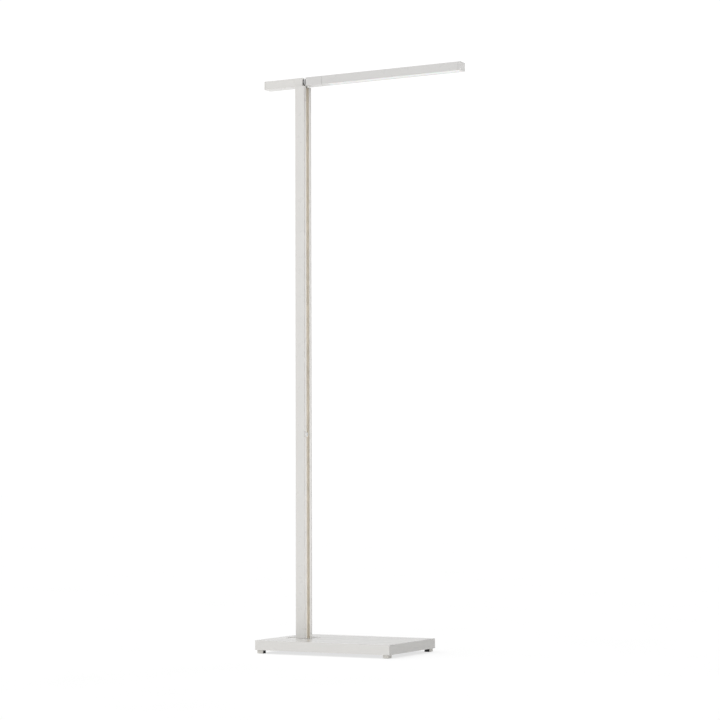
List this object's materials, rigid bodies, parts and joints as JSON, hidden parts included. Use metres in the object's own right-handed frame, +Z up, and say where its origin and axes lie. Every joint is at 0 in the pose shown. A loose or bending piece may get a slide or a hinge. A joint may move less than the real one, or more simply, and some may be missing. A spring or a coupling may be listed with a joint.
{
  "type": "adjustable arm floor lamp",
  "caption": "Slim floor lamp: slab base, grooved square post turning on a flush disc, level LED bar arm that rolls on its own line, and a round dimmer knob.",
  "frame": {"origin": "on the floor, under the middle of the overall bounding box, which is under the middle of the level bar", "axes": "+Z up along the post; +X along the level bar from the stub to the arm's tip; -Y is the front long side of the base, and the power inlet is in the +Y side"},
  "size_m": [0.46, 0.206, 1.2],
  "materials": {
    "paint": "satin warm white powder coat",
    "champagne": "champagne anodised",
    "ballast_steel": "bare steel plate",
    "steel": "zinc plated",
    "polished": "polished",
    "raw_aluminium": "machined",
    "bushing_metal": "machined",
    "black_rubber": "matt",
    "black_plastic": "matt",
    "board": "white solder mask",
    "phosphor": "matt",
    "opal": "opal, matt"
  },
  "bodies": {
    "base": {"base_shell": "paint", "base_ballast": "ballast_steel", "base_floor_plate": "black_plastic", "cover_screw_front_left": "steel", "cover_screw_front_right": "steel", "cover_screw_back_left": "steel", "cover_screw_back_right": "steel", "foot_guard_front_left": "paint", "foot_guard_front_right": "paint", "foot_guard_back_left": "paint", "foot_guard_back_right": "paint", "foot_pad_front_left": "black_rubber", "foot_pad_front_right": "black_rubber", "foot_pad_back_left": "black_rubber", "foot_pad_back_right": "black_rubber", "driver_module": "black_plastic", "power_inlet": "black_plastic", "base_wire": "black_rubber", "swivel_bearing": "bushing_metal", "swivel_washer": "black_plastic"},
    "post": {"swivel_disc": "paint", "swivel_spindle": "steel", "spindle_nut": "steel", "foot_screw_front": "steel", "foot_screw_back": "steel", "post_extrusion": "paint", "groove_liner": "champagne", "post_foot_plug": "raw_aluminium", "post_head_plug": "raw_aluminium", "head_screw": "steel", "post_wire": "black_rubber", "dimmer_body": "black_plastic", "dimmer_bushing": "bushing_metal", "stub_housing": "paint", "stub_end_cap": "paint", "head_bushing": "bushing_metal", "head_washer": "black_plastic", "friction_spring": "steel"},
    "arm": {"roll_shaft": "steel", "shaft_nut": "steel", "pivot_collar": "polished", "pivot_sleeve": "black_plastic", "arm_adapter": "paint", "grub_screw": "steel", "led_housing": "paint", "led_board": "board", "led_strip": "phosphor", "diffuser": "opal", "arm_end_cap": "paint", "arm_wire": "black_rubber"},
    "knob": {"dimmer_shaft": "steel", "dimmer_knob": "raw_aluminium"}
  },
  "joints": [
    {"name": "post_swivel", "type": "hinge", "parent": "base", "child": "post", "pos_m": [-0.142, 0, 0.027], "axis": [0, 0, 1], "range_deg": [-165, 165]},
    {"name": "arm_roll", "type": "hinge", "parent": "post", "child": "arm", "pos_m": [-0.142, 0, 1.1912], "axis": [1, 0, 0], "range_deg": [-90, 90]},
    {"name": "dimmer_turn", "type": "hinge", "parent": "post", "child": "knob", "pos_m": [-0.142, -0.011, 0.4495], "axis": [1, 0, 0], "range_deg": [-135, 135]}
  ]
}
